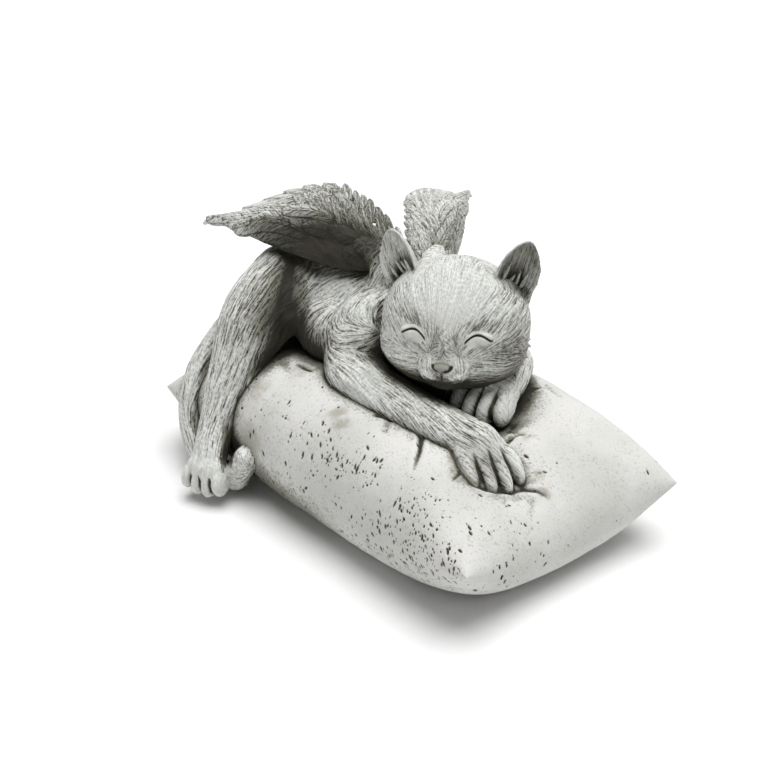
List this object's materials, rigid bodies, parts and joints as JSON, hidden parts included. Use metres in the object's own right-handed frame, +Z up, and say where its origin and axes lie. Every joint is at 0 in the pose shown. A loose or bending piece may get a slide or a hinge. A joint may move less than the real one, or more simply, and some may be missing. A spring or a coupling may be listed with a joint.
{
  "type": "angel cat statue",
  "caption": "A kitten with angel wings asleep over a fat stuffed pillow, cast in grey stone, head and forepaws resting on top, a hind leg and the tail hanging down its side.",
  "frame": {"origin": "middle of the pillow's flat underside, on the surface the statue stands on", "axes": "+X along the pillow's long side, towards the end the forepaws point at; +Y towards the side with the kitten's left forepaw; +Z up"},
  "size_m": [0.2998, 0.2596, 0.1847],
  "materials": {
    "cast_stone": "pale grey cast stone with a dark wash in the carving, pitted, with faint brown stains on the pillow"
  },
  "bodies": {
    "root": {"angel_cat_statue": "cast_stone"}
  },
  "joints": []
}
